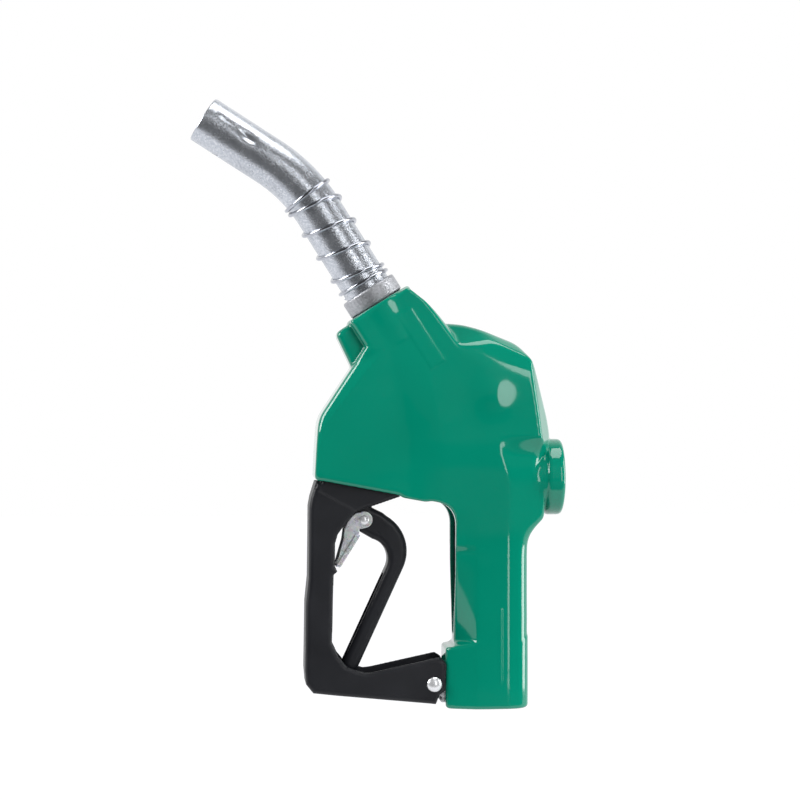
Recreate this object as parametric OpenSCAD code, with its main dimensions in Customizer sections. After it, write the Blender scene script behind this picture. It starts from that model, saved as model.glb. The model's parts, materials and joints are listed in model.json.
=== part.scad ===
// Automatic shut-off fuel nozzle: a hose inlet in the handle, a main valve across the body,
// a bent spout with an anchor spring, a hand lever in a guard, and a vinyl hand insulator.
// The origin is the centre of the hose inlet's face. The handle rises along +Z, the lever
// hangs on the -X side, and the whole nozzle is symmetric about the plane Y = 0.

/* [Handle] */
// Width of the handle along X, over the insulator
handle_w = 45.7; // [45:0.1:50]
// Width of the handle along Y, over the insulator
handle_t = 45; // [43:0.5:50]
// Radius of the hose thread, as a plain bore at its pitch diameter
inlet_r = 15.73; // [15:0.01:16.4]
// Depth of the hose thread
inlet_depth = 22; // [18:1:24]
// Radius of the flow bore up the handle
flow_r = 12.7; // [11:0.1:13]

/* [Body] */
// Width of the body along Y, over the insulator
body_t = 60; // [56:1:64]
// Width of the front box along Y, over the insulator
box_t = 46; // [44:1:50]
// Thickness of the vinyl insulator
skin = 3; // [2:0.1:3.2]
// Height of the main valve's axis
valve_z = 144.7; // [143:0.1:147]
// Height of the latch plunger's axis
latch_z = 190; // [189:0.5:192]

/* [Spout] */
// Outside radius of the spout
spout_r = 15.1; // [14.5:0.1:15.5]
// Wall of the spout
spout_wall = 2.4; // [1.5:0.1:2.8]
// Radius of the spout's bend, at its centre line
bend_r = 102; // [90:1:120]
// Angle of the bend
bend_a = 25.2; // [20:0.1:30]
// Straight length past the bend
tip_len = 49.3; // [40:0.1:60]
// Lean of the spout's lower part from the vertical
lean = 32.3; // [31:0.1:34]
// Wire radius of the anchor spring
anchor_wire = 1.2; // [1:0.1:1.5]

/* [Lever] */
// Width of the lever along Y
lever_t = 20; // [16:1:21]
// Depth of the lever bar, seen from the side
lever_d = 10.2; // [8:0.1:11]
// Width of the guard along Y
guard_t = 35; // [33:1:36]
// Sheet thickness of the guard
guard_wall = 2.4; // [2:0.1:2.6]

/* [Hidden] */
$fn = 64;
e = 0.01;
fit = 0.05;
gap = 1.2;

// Bend point of the spout's axis, and the straight stretch that the bend takes on each side
bend_x = -118.9;
bend_z = 331.1;
bend_t = bend_r * tan(bend_a / 2);
// Distance from the bend point down the axis to the top of the bushing
neck_s = 79;
// Lever pivot, clip pivot and the guard's rivet, in the plane Y = 0
pivot_x = -84;
clip_x = -78.9;
clip_z = 118.4;
rivet_x = -35.3;
rivet_z = 15.6;
// Faces of the lever's slot in the casting
slot_x0 = -98;
slot_x1 = -56;
slot_t = 22;
// Main valve: seat face, chamber radius and the cap's inner face
seat_x = -14;
stem_x0 = -70.7;
chamber_r = 18;
cap_x0 = 34;
// Diaphragm flange face and radius
flange_x = 8;
diaphragm_r = 19.3;
// Handle's right face, its middle, and the chamfers towards the lever: where they start and their angle
handle_x1 = 23.7;
handle_mx = handle_x1 - handle_w / 2;
chamfer_x = -8.7;
chamfer_a = 29.4;
// The body narrows from taper_z down to the handle, by taper_a on each side
taper_z = 168;
taper_a = 5.8;
// Seat of the strainer, above the hose thread
seat_r = 15.2;
seat_z = inlet_depth + 1.9;
// Vacuum cap: screw circle
screw_circle = 15.8;
// The spout's bend is drawn down by thin, to seat inside the straight lengths, which overlap it by lap
thin = 0.05;
lap = 0.3;
// Anchor spring: coil radius, turns, pitch of the closed, open and last turns, and where each kind ends
anchor_r = spout_r + anchor_wire + 0.12;
anchor_turns = 6;
closed_pitch = 4.2;
open_pitch = 17;
last_pitch = 3;
open_from = 1.5;
open_to = 5;

// ---------- helpers ----------
// Turns a drawing in X and Y into a plate in X and Z, of thickness t about Y = 0
module plate(t) rotate([90, 0, 0]) linear_extrude(height = t, center = true) children();
// Cylinder along X from x0 to x1, at height z
module along_x(x0, x1, z, r) translate([x0, 0, z]) rotate([0, 90, 0]) cylinder(h = x1 - x0, r = r);
// Ring along X
module ring_x(x0, x1, z, ro, ri) difference() {
    along_x(x0, x1, z, ro);
    along_x(x0 - 1, x1 + 1, z, ri);
}
// Cylinder along Y, of length t about Y = 0
module along_y(x, z, r, t) translate([x, 0, z]) rotate([90, 0, 0]) cylinder(h = t, r = r, center = true);
// Frame of the spout: its bend point is the origin and the lower axis runs down -Z
module spout_frame() translate([bend_x, 0, bend_z]) rotate([0, -lean, 0]) children();
// Cylinder on the spout's lower axis, from s0 to s1 below the bend point
module down_spout(s0, s1, r) spout_frame() translate([0, 0, -s1]) cylinder(h = s1 - s0, r = r);
// Rectangle with rounded corners, about its centre
module round_rect(w, h, r) {
    square([w - 2 * r, h], center = true);
    square([w, h - 2 * r], center = true);
    for (x = [-1, 1], y = [-1, 1]) translate([x * (w / 2 - r), y * (h / 2 - r)]) circle(r = r);
}
// Plate with chamfered edges: the outline at t - 2c wide, and a smaller outline at t wide
module chamfered(t, c, g) hull() {
    plate(t - 2 * c - 2 * g) offset(delta = -g) children();
    plate(t - 2 * g) offset(delta = -c - g) children();
}

// Closed tube of radius r swept through pts; side directions across each point come from frames
function ring_at(p, u, v, r, n) = [for (i = [0:n - 1]) p + r * (cos(360 * i / n) * u + sin(360 * i / n) * v)];
module sweep(pts, us, vs, r, n = 8) {
    m = len(pts);
    points = [for (k = [0:m - 1]) each ring_at(pts[k], us[k], vs[k], r, n)];
    sides = [for (k = [0:m - 2], i = [0:n - 1]) each [
        [k * n + i, k * n + (i + 1) % n, (k + 1) * n + (i + 1) % n],
        [k * n + i, (k + 1) * n + (i + 1) % n, (k + 1) * n + i]]];
    ends = [[for (i = [n - 1:-1:0]) i], [for (i = [0:n - 1]) (m - 1) * n + i]];
    polyhedron(points = points, faces = concat(ends, sides));
}
// Compression spring along +Z, its first and last turns closed
function coil_height(t, turns, len, w) = t < 1 ? w + 1.1 * w * t
    : t > turns - 1 ? len - w - 1.1 * w * (turns - t)
    : 2.1 * w + (t - 1) * (len - 4.2 * w) / (turns - 2);
module coil(r, w, turns, len, steps = 18) {
    out = [for (k = [0:turns * steps]) [cos(360 * k / steps), sin(360 * k / steps), 0]];
    pts = [for (k = [0:turns * steps]) r * out[k] + [0, 0, coil_height(k / steps, turns, len, w)]];
    sweep(pts, out, [for (p = pts) [0, 0, 1]], w, 6);
}

// ---------- outer form, shared by the insulator and the casting ----------
module dome_outline() polygon([[-50, 190], [-30, 236], [-23.4, 241.2], [-11.6, 239.5], [14.2, 229.8],
    [25, 220], [31.2, 204.1], [38.6, 180.8], [39.8, 169], [33.5, 119], [26, 108], [4, 108],
    [-26, 129.5], [-42, 131.9], [-50, 140]]);
// Wedge beside the body that narrows it towards the handle, on the +Y side
module side_wedge(g) translate([-60, body_t / 2 - g, taper_z]) rotate([-taper_a, 0, 0]) translate([0, 0, -73])
    cube([120, 20, 73]);
module box_outline() polygon([[-87.3, 214.8], [-108.1, 182.6], [-109.4, 173.5], [-110.3, 143.4],
    [-54, 133], [-38, 131.5], [-26, 150], [-30, 225], [-60, 238]]);
module neck_outline() polygon([[-88.3, 242.4], [-67.6, 209.7], [-40, 190], [-23.4, 241.2], [-36.7, 251.5],
    [-44.6, 261.1], [-48.4, 265.4]]);
module boss_outline() polygon([[-87.3, 243.4], [-95, 237.4], [-96.8, 235], [-86, 212], [-60, 212],
    [-70, 243]]);

// Handle's section: rounded at the back, chamfered towards the lever
module handle_outline() difference() {
    translate([handle_mx, 0]) round_rect(handle_w, handle_t, 14);
    for (s = [0, 1]) mirror([0, s]) translate([chamfer_x, handle_t / 2]) rotate(180 + chamfer_a)
        translate([0, -20]) square([40, 20]);
}

// Form of the body, taken in by g from the insulator's outer face
module form(g) {
    difference() {
        chamfered(body_t, 11, g) dome_outline();
        for (s = [0, 1]) mirror([0, s, 0]) side_wedge(g);
    }
    chamfered(box_t, 5, g) box_outline();
    chamfered(44, 9, g) neck_outline();
    plate(23 - 2 * g) offset(delta = -g) boss_outline();
    down_spout(neck_s + 12 + g * 0.1, neck_s + 60, 23 - g);
    linear_extrude(height = 140) offset(delta = -g) handle_outline();
    along_x(0, 46.8 - g, valve_z, 24 - g);
}

// ---------- casting and insulator ----------
module flow_passages() {
    translate([0, 0, -e]) cylinder(h = inlet_depth + e, r = inlet_r);
    translate([0, 0, inlet_depth - e]) cylinder(h = seat_z - inlet_depth + e, r = seat_r);
    translate([0, 0, seat_z - e]) cylinder(h = valve_z - seat_z, r = flow_r);
    along_x(seat_x, 60, valve_z, chamber_r);
    along_x(-44, seat_x + e, valve_z, 9.5);
    along_x(-17, seat_x + e, valve_z, 13);
    translate([-33.5, 0, valve_z]) cylinder(h = 55, r = 9.5);
    down_spout(neck_s + 8, neck_s + 30, 17);
    down_spout(neck_s + 8, neck_s + 83, 12);
}
module latch_passages() {
    along_x(slot_x1 - 30, -3, latch_z, 5);
    along_x(-4, flange_x + e, latch_z, 12);
    along_x(flange_x, 60, latch_z, 19.8);
    cap_screw_holes(-8, 20, 1.6);
}
module cap_screw_holes(x, h, r) for (a = [45:90:315])
    translate([x, screw_circle * cos(a), latch_z + screw_circle * sin(a)]) rotate([0, 90, 0])
        cylinder(h = h, r = r);
module body_casting() {
    g = skin + gap;
    color("silver") difference() {
        union() {
            difference() {
                union() {
                    form(g);
                    translate([-44, -12, 8]) cube([30, 24, 17.5]);
                    translate([-31, -12, 3.5]) cube([17, 24, 10]);
                }
                flow_passages();
            }
            along_x(-50, -18, latch_z, 7.5);
        }
        latch_passages();
        translate([slot_x0, -slot_t / 2, 100]) cube([slot_x1 - slot_x0, slot_t, 102]);
        translate([-130, -40, 100]) cube([130 - 58, 80, 48]);
        translate([-130, -40, 100]) cube([130 - 103, 80, 62]);
        translate([slot_x0 + e, 0, 155]) rotate([0, -90, 0]) cylinder(h = 9, r = 2.6);
        along_x(slot_x1 - e, -46, valve_z, 8);
        along_x(-47, -43, valve_z, 4.6);
        along_y(rivet_x, rivet_z, 3.1, 40);
        translate([-60, -40, -5]) cube([100, 80, 5]);
    }
}
// Lower edge of the insulator's box, the slit that shows the casting, and the lug's opening
module insulator_openings() {
    translate([-107.2, -20, 120]) cube([57, 40, 40]);
    translate([-50, 0, 0]) rotate([90, 0, 90]) linear_extrude(height = 36)
        polygon([[-6, 45], [6, 45], [15, 95], [15, 119], [-15, 119], [-15, 95]]);
    translate([-50, -12.4, -1]) cube([36, 24.8, 27]);
    translate([-60, -40, -5]) cube([100, 80, 5]);
    down_spout(neck_s, neck_s + 30, 20);
    translate([0, 0, -1]) cylinder(h = 20, r = 19);
}
module insulator_foot() translate([-28.3, -15, 1.2]) cube([20, 30, 36]);
module hand_insulator() color([0, 0.54, 0.43]) difference() {
    union() {
        form(0);
        insulator_foot();
    }
    form(skin);
    insulator_openings();
}

// ---------- spout ----------
// Tube along the spout's axis, moved to the inside of the bend by off, from s_down to tip past the bend
module tube(h, r, ri) difference() {
    cylinder(h = h, r = r);
    translate([0, 0, -1]) cylinder(h = h + 2, r = ri);
}
module spout_path(r, ri, off, s_down, tip) spout_frame() {
    translate([-off, 0, -s_down]) tube(s_down - bend_t + lap, r, ri);
    translate([-bend_r, 0, -bend_t]) {
        rotate([90, 0, 0]) rotate_extrude(angle = bend_a) translate([bend_r - off, 0]) difference() {
            circle(r = r - thin);
            circle(r = ri + thin);
        }
        rotate([0, -bend_a, 0]) translate([bend_r - off, 0, -lap]) tube(tip + lap, r, ri);
    }
}
module tip_frame() spout_frame() translate([-bend_r, 0, -bend_t]) rotate([0, -bend_a, 0])
    translate([bend_r, 0, 0]) children();
module spout_tube() color("lightgray") difference() {
    spout_path(spout_r, spout_r - spout_wall, 0, neck_s + 29.5, tip_len);
    tip_frame() translate([-5, 0, tip_len - 19]) rotate([0, -90, 0]) cylinder(h = 20, r = 2.5);
}
module vent_tube() color("gainsboro") spout_path(2.5, 1.7, 9.6, neck_s - 1, tip_len - 14);
module spout_bushing() color("darkgray") difference() {
    union() {
        down_spout(neck_s + 1, neck_s + 11.6, 18.35);
        down_spout(neck_s + 11, neck_s + 29.5, 16.9);
    }
    down_spout(neck_s, neck_s + 30, spout_r + fit);
    down_spout(neck_s + 18, neck_s + 20.4, 16.3);
    bushing_screw_hole(1.6);
}
module spout_o_ring() color("black") spout_frame() translate([0, 0, -neck_s - 19.2]) difference() {
    cylinder(h = 2, r = 16.25, center = true);
    cylinder(h = 3, r = spout_r + fit, center = true);
}
module bushing_screw_hole(r) spout_frame() translate([0, 0, -neck_s - 6]) rotate([90, 0, 0])
    translate([0, 0, spout_r]) cylinder(h = 6, r = r);
module bushing_set_screw() color("dimgray") spout_frame() translate([0, -spout_r - 0.2, -neck_s - 6])
    rotate([90, 0, 0]) difference() {
        cylinder(h = 2.9, r = 1.55);
        translate([0, 0, 1.6]) cylinder(h = 3, r = 0.9, $fn = 6);
    }
// Anchor spring, wound left-handed up the spout's lower part and a little into the bend
anchor_z0 = -neck_s + anchor_wire;
anchor_z1 = anchor_z0 + open_from * closed_pitch;
anchor_z2 = anchor_z1 + (open_to - open_from) * open_pitch;
function anchor_z(t) = t < open_from ? anchor_z0 + t * closed_pitch
    : t < open_to ? anchor_z1 + (t - open_from) * open_pitch : anchor_z2 + (t - open_to) * last_pitch;
function axis_turn(z) = z < -bend_t ? 0 : (z + bend_t) * 180 / (PI * bend_r);
function axis_point(z) = z < -bend_t ? [0, 0, z]
    : [bend_r * (cos(axis_turn(z)) - 1), 0, bend_r * sin(axis_turn(z)) - bend_t];
function across(z) = [cos(axis_turn(z)), 0, sin(axis_turn(z))];
function along(z) = [-sin(axis_turn(z)), 0, cos(axis_turn(z))];
module anchor_spring() {
    steps = 26;
    ks = [0:anchor_turns * steps];
    out = [for (k = ks) let (z = anchor_z(k / steps), a = 150 - 360 * k / steps)
        cos(a) * across(z) + sin(a) * [0, 1, 0]];
    pts = [for (k = ks) axis_point(anchor_z(k / steps)) + anchor_r * out[k]];
    ups = [for (k = ks) along(anchor_z(k / steps))];
    color("silver") spout_frame() sweep(pts, ups, out, anchor_wire, 8);
}

// ---------- venturi and check valve, on the spout's axis ----------
module venturi_ring() color("goldenrod") difference() {
    down_spout(neck_s + 30, neck_s + 38, 11.95);
    spout_frame() translate([0, 0, -neck_s - 38.1]) cylinder(h = 8.2, r1 = 7, r2 = 9);
}
module check_poppet() color("goldenrod") {
    down_spout(neck_s + 26, neck_s + 29.6, 10);
    down_spout(neck_s + 18, neck_s + 44, 2);
}
module check_spring() color("silver") spout_frame() translate([0, 0, -neck_s - 25.8]) coil(5, 0.5, 6, 12.6);
module check_spring_seat() color("goldenrod") difference() {
    down_spout(neck_s + 10, neck_s + 13, spout_r - spout_wall - 0.05);
    down_spout(neck_s + 9, neck_s + 14, 2.2);
    for (a = [0:60:300]) spout_frame() rotate([0, 0, a]) translate([7.4, 0, -neck_s - 14])
        cylinder(h = 5, r = 2.4);
}

// ---------- main valve ----------
module valve_seat() color("goldenrod") ring_x(-16.9, seat_x, valve_z, 12.95, 9.5);
module main_stem() color("lightsteelblue") {
    along_x(stem_x0, -4.5, valve_z, 4);
    translate([stem_x0, 0, valve_z]) sphere(r = 4);
}
module poppet_disc() color("dimgray") ring_x(seat_x + 0.1, -11, valve_z, 13.5, 4 + fit);
module poppet_holder() color("goldenrod") ring_x(-11, -8, valve_z, 14.5, 4 + fit);
module poppet_nut() color("silver") difference() {
    translate([-8, 0, valve_z]) rotate([0, 90, 0]) cylinder(h = 3.2, r = 7, $fn = 6);
    along_x(-9, -4, valve_z, 4 + fit);
}
module main_spring() color("silver") translate([-7.9, 0, valve_z]) rotate([0, 90, 0])
    coil(11.5, 0.9, 6, 41.8);
module valve_cap() color("silver") difference() {
    along_x(cap_x0, 43.5, valve_z, chamber_r - fit);
    ring_x(37, 39.2, valve_z, chamber_r + 1, 16.2);
}
module valve_cap_o_ring() color("black") ring_x(37.1, 39.1, valve_z, chamber_r - fit, 16.25);
module stem_packing() color("white") ring_x(-51, -47, valve_z, 7.9, 4.05);
module packing_nut() color("goldenrod") difference() {
    union() {
        along_x(-56, -51, valve_z, 7.9);
        translate([-57.6, 0, valve_z]) rotate([0, 90, 0]) cylinder(h = 1.6, r = 7.2, $fn = 6);
    }
    along_x(-60, -50, valve_z, 4.05);
}

// ---------- latch and diaphragm ----------
module latch_plunger() color("lightsteelblue") difference() {
    union() {
        along_x(-76, -14, latch_z, 5 - fit);
        translate([-89, -4, latch_z - 4.6]) cube([14, 8, 9.2]);
    }
    along_y(pivot_x, latch_z, 3.05, 20);
    along_x(-32, -13, latch_z, 2.6);
    for (a = [90:120:330]) translate([-24, 0, latch_z]) rotate([a, 0, 0]) cylinder(h = 6, r = 1.2);
}
module latch_balls() color("silver") for (a = [90:120:330]) translate([-24, 0, latch_z]) rotate([a, 0, 0])
    translate([0, 0, 3.72]) sphere(r = 1.15);
module latch_spring() color("silver") translate([-13.8, 0, latch_z]) rotate([0, 90, 0])
    coil(3.9, 0.45, 5, 10);
module latch_pin() color("silver") {
    along_x(-30, 10.5, latch_z, 2.5);
    along_x(3, 6.4, latch_z, 5);
}
module diaphragm() color([0.3, 0.22, 0.16]) difference() {
    ring_x(flange_x, flange_x + 1, latch_z, diaphragm_r, 2.5);
    cap_screw_holes(flange_x - 1, 4, 1.65);
}
module diaphragm_plate() color("silver") ring_x(flange_x + 1, flange_x + 2.2, latch_z, 8.5, 2.5);
module diaphragm_spring() color("silver") translate([flange_x + 2.3, 0, latch_z]) rotate([0, 90, 0])
    coil(6, 0.5, 5, 10.5);
module vacuum_cap() color("silver") difference() {
    along_x(flange_x + 1, 25, latch_z, diaphragm_r);
    along_x(flange_x, 21, latch_z, 12.5);
    cap_screw_holes(5, 25, 1.65);
}
module vacuum_cap_screws() color("dimgray") for (a = [45:90:315])
    translate([-4, screw_circle * cos(a), latch_z + screw_circle * sin(a)]) rotate([0, 90, 0]) {
        cylinder(h = 29, r = 1.55);
        difference() {
            translate([0, 0, 29]) cylinder(h = 2, r = 3);
            translate([0, 0, 30]) cube([0.9, 5, 2.2], center = true);
        }
    }

// ---------- lever, clip and guard ----------
function arc(x, z, r, a0, a1, n = 8) = [for (i = [0:n]) let (a = a0 + (a1 - a0) * i / n)
    [x + r * cos(a), z + r * sin(a)]];
// Side of the lever: an arm beside the stem, the finger curve, and the straight grip
module lever_side() {
    polygon(concat([[-89.2, 190], [-78.8, 190], [-73.8, 125.6], [-66.7, 122.2]],
        arc(-77, 98.5, 25.2, 60, -24.5), [[-82.4, 26.2], [-91.8, 30.4]],
        arc(-77, 93.5, 13.1, -24.5, 75), [[-81.3, 110.6], [-84.8, 114]]));
    translate([-87.1, 28.3]) circle(r = lever_d / 2);
}
module lever() color([0.05, 0.05, 0.05]) difference() {
    union() {
        plate(lever_t) lever_side();
        along_y(pivot_x, latch_z, 6.6, lever_t);
    }
    translate([pivot_x - 9, -5.3, latch_z - 9]) cube([30, 10.6, 30]);
    along_y(pivot_x, latch_z, 3.05, 40);
    along_y(clip_x, clip_z, 2.55, 40);
}
module lever_pivot_pin() color("silver") along_y(pivot_x, latch_z, 3, lever_t + 0.8);
// Side plate of the clip: a round eye, and an arm that widens towards the hook at its tip
module clip_side() {
    translate([clip_x, clip_z]) circle(r = 5.2);
    polygon([[clip_x - 5.1, clip_z + 1.2], [-87, 110], [-91.8, 110], [-95.6, 94], [-95.9, 89], [-94.2, 88.6],
        [-82.4, 107], [-84, 109.2], [-80.2, clip_z - 5]]);
}
module hold_open_clip() color("lightsteelblue") difference() {
    union() {
        for (y = [-1, 1]) translate([0, y * (lever_t / 2 + 0.95), 0]) plate(1.2) clip_side();
        plate(lever_t + 3.1)
            polygon([[-93.4, 103.4], [-95.6, 94], [-95.9, 89], [-94.6, 89], [-94.4, 94], [-92.2, 103]]);
    }
    along_y(clip_x, clip_z, 2.55, 40);
}
module clip_rivet() color("silver") {
    translate([clip_x, 14.6, clip_z]) rotate([90, 0, 0]) cylinder(h = 26.3, r = 2.5);
    translate([clip_x, -11.6, clip_z]) rotate([90, 0, 0]) cylinder(h = 1.3, r1 = 3.35, r2 = 2.4);
    translate([clip_x, 14.6, clip_z]) rotate([90, 0, 0]) cylinder(h = 0.9, r = 3.35);
}
// Torsion spring of the clip: two turns round the rivet's far end, and a leg down the clip
module clip_spring() color("silver") {
    for (y = [12.2, 13.1]) translate([clip_x, y, clip_z]) rotate([90, 0, 0]) rotate_extrude()
        translate([3.2, 0]) circle(r = 0.5);
    translate([clip_x - 2.2, 12.2, clip_z - 2.2]) rotate([0, 212, 0]) cylinder(h = 26, r = 0.5);
}
// Guard: outline of its sheet, and the outline of the space between its cheeks
module guard_outline() polygon([[-106.8, 147], [-106.8, 142.3], [-109.4, 142.7], [-112.5, 132.7],
    [-113.6, 126.6], [-114.1, 82.2], [-115.7, 66.4], [-116.3, 24.6], [-115.6, 16.1], [-111, 10.4],
    [-96.7, 8.8], [-37.3, 3.2], [-34.2, 2.8],
    [-31.6, 8.8], [-27.9, 11.5], [-27.2, 27.5], [-28.6, 30.3], [-32.4, 32.7], [-73.9, 23.8], [-78.4, 23.4],
    [-83.6, 24.8], [-89.7, 27.2], [-94.8, 33.5], [-99, 42.3], [-98, 84.2], [-95.6, 86.2], [-97.2, 90],
    [-96.8, 107], [-94.7, 112.1], [-73.9, 126], [-56.2, 132.9], [-62, 147]]);
module guard_space() polygon([[-104, 160], [-107, 143], [-110.2, 132.7], [-111.3, 126.6], [-111.7, 82.2],
    [-113.3, 66.4], [-113.9, 24.6], [-113, 17.4], [-110, 13], [-96.5, 11.2], [-37, 5.7], [-20, 4],
    [-20, 160]]);
module lever_guard() color([0.05, 0.05, 0.05]) difference() {
    union() {
        plate(guard_t) guard_outline();
        translate([-106, -10, 135]) cube([2.8, 20, 26]);
    }
    plate(guard_t - 2 * guard_wall) difference() {
        guard_space();
        translate([-106, 135]) square([2.8, 26]);
    }
    along_y(rivet_x, rivet_z, 3.1, 60);
    translate([-120, 0, 155]) rotate([0, 90, 0]) cylinder(h = 20, r = 2.6);
}
module guard_rivet() color("silver") {
    along_y(rivet_x, rivet_z, 3, guard_t);
    for (y = [-1, 1]) translate([rivet_x, y * guard_t / 2, rivet_z]) rotate([-90 * y, 0, 0]) difference() {
        translate([0, 0, -4]) sphere(r = 6.25);
        translate([0, 0, -10]) cube([20, 20, 20], center = true);
    }
}
module guard_screw() color("dimgray") translate([-98.2, 0, 155]) rotate([0, -90, 0]) {
    cylinder(h = 7.8, r = 2.5);
}

// ---------- inlet ----------
// Cup with a flange that sits against the strainer's seat, and holes through its end
module inlet_strainer() color("silver") translate([0, 0, seat_z - 0.6]) difference() {
    union() {
        cylinder(h = 0.55, r = seat_r - fit);
        cylinder(h = 24, r = 12.4);
    }
    translate([0, 0, -1]) cylinder(h = 24.4, r = 11.8);
    for (a = [0:60:300]) rotate([0, 0, a]) translate([7.6, 0, 20]) cylinder(h = 9, r = 2.6);
    translate([0, 0, 20]) cylinder(h = 9, r = 3);
}
module strainer_ring() color("silver") translate([0, 0, inlet_depth + 0.15]) difference() {
    cylinder(h = 1, r = seat_r - fit);
    translate([0, 0, -1]) cylinder(h = 4, r = 11.5);
}

body_casting();
hand_insulator();
spout_tube();
spout_bushing();
spout_o_ring();
bushing_set_screw();
anchor_spring();
vent_tube();
venturi_ring();
check_poppet();
check_spring();
check_spring_seat();
valve_seat();
main_stem();
poppet_disc();
poppet_holder();
poppet_nut();
main_spring();
valve_cap();
valve_cap_o_ring();
stem_packing();
packing_nut();
latch_plunger();
latch_balls();
latch_spring();
latch_pin();
diaphragm();
diaphragm_plate();
diaphragm_spring();
vacuum_cap();
vacuum_cap_screws();
lever_pivot_pin();
lever();
hold_open_clip();
clip_rivet();
clip_spring();
lever_guard();
guard_rivet();
guard_screw();
inlet_strainer();
strainer_ring();
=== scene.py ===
import json
import math
import bpy
import numpy as np
import openvdb
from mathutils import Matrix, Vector

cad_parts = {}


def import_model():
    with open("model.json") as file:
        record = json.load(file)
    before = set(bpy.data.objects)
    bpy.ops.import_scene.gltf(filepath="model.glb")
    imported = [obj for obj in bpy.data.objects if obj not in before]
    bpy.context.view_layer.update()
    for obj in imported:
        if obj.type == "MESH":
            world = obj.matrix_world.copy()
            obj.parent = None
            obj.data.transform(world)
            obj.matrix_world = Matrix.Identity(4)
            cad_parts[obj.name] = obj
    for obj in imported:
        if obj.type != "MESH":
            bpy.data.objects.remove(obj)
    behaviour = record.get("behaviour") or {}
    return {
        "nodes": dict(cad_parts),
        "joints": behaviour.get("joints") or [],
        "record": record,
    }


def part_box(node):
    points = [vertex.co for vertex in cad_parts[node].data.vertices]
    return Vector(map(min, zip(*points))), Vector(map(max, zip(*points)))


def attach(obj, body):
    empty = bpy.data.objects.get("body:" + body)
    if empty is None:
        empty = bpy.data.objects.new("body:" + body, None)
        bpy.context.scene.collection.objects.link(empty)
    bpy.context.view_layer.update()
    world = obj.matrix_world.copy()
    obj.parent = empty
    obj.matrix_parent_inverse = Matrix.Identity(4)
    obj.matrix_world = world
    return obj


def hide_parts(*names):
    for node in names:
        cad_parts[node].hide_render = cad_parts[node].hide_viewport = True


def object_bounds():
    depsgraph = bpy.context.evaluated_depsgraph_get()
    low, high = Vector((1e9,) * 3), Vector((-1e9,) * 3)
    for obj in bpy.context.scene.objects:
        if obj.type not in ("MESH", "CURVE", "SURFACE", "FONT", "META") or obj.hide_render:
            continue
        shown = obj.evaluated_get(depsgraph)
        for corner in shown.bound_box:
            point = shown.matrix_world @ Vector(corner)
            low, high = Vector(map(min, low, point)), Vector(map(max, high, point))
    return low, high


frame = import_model()
CAD_LOW, CAD_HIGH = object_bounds()
NODES = frame["nodes"]
JOINTS = {j["name"]: j for j in frame["joints"]}
MM = 0.001

# ---------------------------------------------------------------- sizes, in millimetres, from the CAD frame


def corners(node):
    """Lowest and highest corner of a CAD node, in millimetres."""
    low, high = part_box(node)
    return np.array(low) / MM, np.array(high) / MM


def joint_place(name):
    """A hinge's place in the X and Z plane, in millimetres."""
    return JOINTS[name]["pos_m"][0] / MM, JOINTS[name]["pos_m"][2] / MM


# Half widths end in _T. FLAT_X0 and FLAT_X1 bound the flat side of the handle.
COVER_LOW, COVER_HIGH = corners("hand_insulator")
SPOUT_LOW, SPOUT_HIGH = corners("spout_tube")
CAP_LOW, CAP_HIGH = corners("valve_cap")
LEVER_LOW, LEVER_HIGH = corners("lever")
GUARD_LOW, GUARD_HIGH = corners("lever_guard")
CLIP_X, CLIP_Z = joint_place("clip_pivot")
PIVOT_X, PIVOT_Z = joint_place("lever_pivot")
RIVET_X, RIVET_Z = [float((corners("guard_rivet")[0] + corners("guard_rivet")[1])[i] / 2) for i in (0, 2)]
VALVE_Z = float((CAP_LOW + CAP_HIGH)[2] / 2)
SHELL = 2.9
CASTING_INSET = 3.05
HANDLE_X1 = 23.7
FLAT_X0, FLAT_X1 = -8.7, 11.3
HANDLE_T = 22.5
BODY_T = float(COVER_HIGH[1]) - 1.0
BOX_T = 23.0
NECK_T = 22.0
BODY_MIDDLE = (-20.0, 0.0, 170.0)

# Spout: bend point, lean of the lower axis from the vertical, and the bend
BEND_X, BEND_Z = -118.9, 331.1
LEAN = math.radians(32.3)
BEND_R = 102.0
BEND_A = math.radians(25.2)
BEND_T = BEND_R * math.tan(BEND_A / 2)
NECK_S = 79.0
SPOUT_R = 15.1
ANCHOR_WIRE = 1.2
TIP_LEN = 49.3

# ---------------------------------------------------------------- signed distance fields


def smin(a, b, k):
    """Smooth union of two fields, with a fillet of about 0.85 k."""
    h = np.maximum(k - np.abs(a - b), 0) / k
    return np.minimum(a, b) - h * h * k * 0.25


def smax(a, b, k):
    """Smooth intersection of two fields."""
    h = np.maximum(k - np.abs(a - b), 0) / k
    return np.maximum(a, b) + h * h * k * 0.25


def intersect(k, *fields):
    """Smooth intersection of several fields."""
    out = fields[0]
    for f in fields[1:]:
        out = smax(out, f, k)
    return out


def half_plane(p, q, x, z):
    """Distance to the right of the line from p to q in the X and Z plane; the solid lies to the left."""
    dx, dz = q[0] - p[0], q[1] - p[1]
    n = math.hypot(dx, dz)
    return ((x - p[0]) * dz - (z - p[1]) * dx) / n


def convex(points, x, z, k):
    """Convex outline, its points anticlockwise with X to the right and Z up, its corners rounded by k."""
    out = half_plane(points[-1], points[0], x, z)
    for p, q in zip(points, points[1:]):
        out = smax(out, half_plane(p, q, x, z), k)
    return out


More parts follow.
